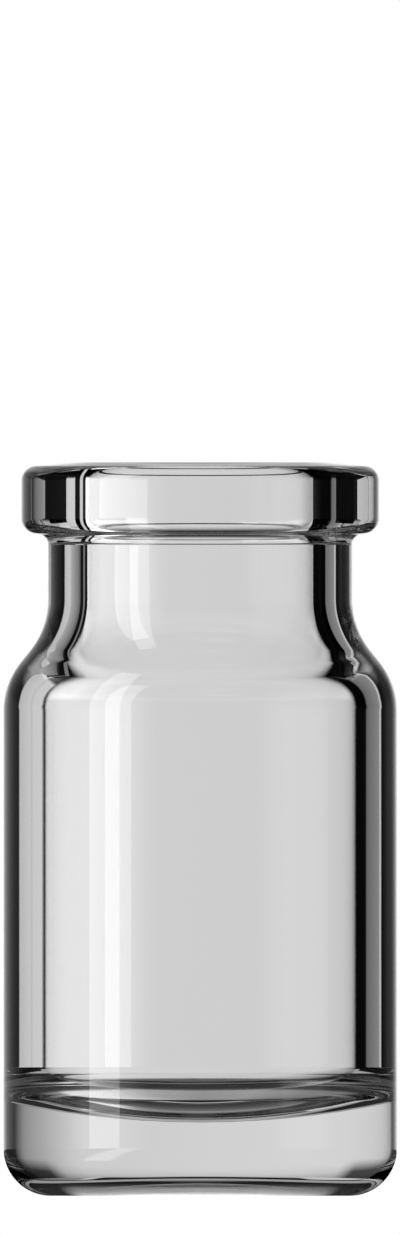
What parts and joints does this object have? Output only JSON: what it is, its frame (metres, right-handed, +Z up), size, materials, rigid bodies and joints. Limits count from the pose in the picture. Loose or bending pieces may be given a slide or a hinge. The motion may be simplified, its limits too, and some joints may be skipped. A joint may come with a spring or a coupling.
{
  "type": "glass injection vial",
  "caption": "Small clear moulded glass vial with a crimp-neck flange, a straight stopper bore and a hollow base, empty and open.",
  "frame": {"origin": "centre of the foot, on the plane that the vial stands on", "axes": "+Z up along the axis of revolution, from the foot to the mouth; X and Y are any two directions across it"},
  "size_m": [0.022, 0.022, 0.041],
  "materials": {
    "clear_glass": "polished"
  },
  "bodies": {
    "root": {"vial": "clear_glass"}
  },
  "joints": []
}
